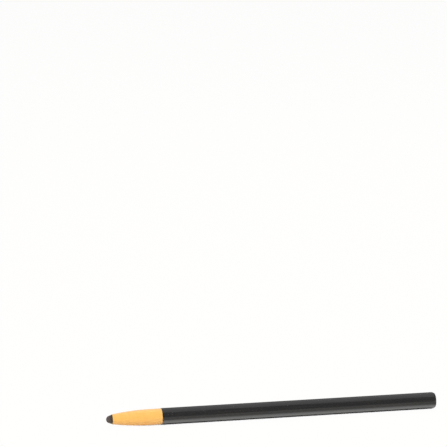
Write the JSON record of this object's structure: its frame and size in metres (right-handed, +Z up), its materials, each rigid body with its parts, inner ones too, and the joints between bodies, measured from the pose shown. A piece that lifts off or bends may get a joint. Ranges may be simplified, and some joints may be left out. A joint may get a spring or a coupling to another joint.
{
  "type": "china marker",
  "caption": "Peel-off china marker: a wax core and pull string in a scored roll of yellow paper, ground to a taper at the tip, with a glossy black cover round the barrel.",
  "frame": {"origin": "under the middle of the marker, on the surface that it lies on", "axes": "+X along the marker, from the writing tip to the rear face; +Z up"},
  "size_m": [0.178, 0.0088, 0.0087],
  "materials": {
    "wax": "black wax, faintly greasy",
    "string": "twisted cotton",
    "paper": "bare rolled paper, yellow",
    "lacquer": "black gloss lacquer on paper"
  },
  "bodies": {
    "barrel": {"wax_core": "wax", "pull_string": "string", "peel_band_04": "paper", "peel_band_05": "paper", "peel_band_06": "paper", "peel_band_07": "paper", "peel_band_08": "paper", "peel_band_09": "paper", "peel_band_10": "paper", "peel_band_11": "paper", "peel_band_12": "paper", "peel_band_13": "paper", "peel_band_14": "paper", "peel_band_15": "paper", "peel_band_16": "paper", "peel_band_17": "paper", "peel_band_18": "paper", "peel_band_19": "paper", "peel_band_20": "paper", "black_cover": "lacquer"},
    "third_band": {"peel_band_03": "paper"},
    "second_band": {"peel_band_02": "paper"},
    "front_band": {"peel_band_01": "paper"}
  },
  "joints": [
    {"name": "third_band_peel", "type": "slide", "parent": "barrel", "child": "third_band", "axis": [-1, 0, 0], "range_m": [0, 0.03]},
    {"name": "second_band_peel", "type": "slide", "parent": "third_band", "child": "second_band", "axis": [-1, 0, 0], "range_m": [0, 0.021]},
    {"name": "front_band_peel", "type": "slide", "parent": "second_band", "child": "front_band", "axis": [-1, 0, 0], "range_m": [0, 0.012]}
  ]
}
